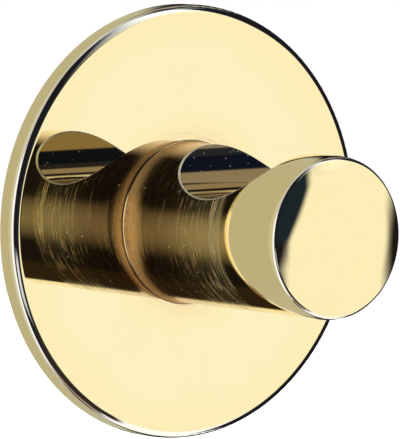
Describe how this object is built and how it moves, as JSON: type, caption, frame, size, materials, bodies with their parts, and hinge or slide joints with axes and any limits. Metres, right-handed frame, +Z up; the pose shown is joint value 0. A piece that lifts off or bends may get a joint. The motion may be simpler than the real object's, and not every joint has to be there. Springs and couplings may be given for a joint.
{
  "type": "adhesive hook",
  "caption": "Round polished brass wall hook: a thick straight peg with a concave hanging saddle on top, fixed to a disc backplate that a foam pad sticks to a wall.",
  "frame": {"origin": "centre of the adhesive face, on the wall's surface", "axes": "+Y into the wall, -Y along the peg out from the wall, +Z up, +X to the right as seen by someone facing the wall"},
  "size_m": [0.05, 0.0315, 0.05],
  "materials": {
    "foam": "white closed-cell foam tape, tacky adhesive face",
    "plate_brass": "mirror polished and lacquered",
    "peg_brass": "polished over fine turning marks",
    "screw_steel": "bright zinc plated"
  },
  "bodies": {
    "root": {"adhesive_pad": "foam", "backplate": "plate_brass", "peg": "peg_brass", "fixing_screw": "screw_steel"}
  },
  "joints": []
}
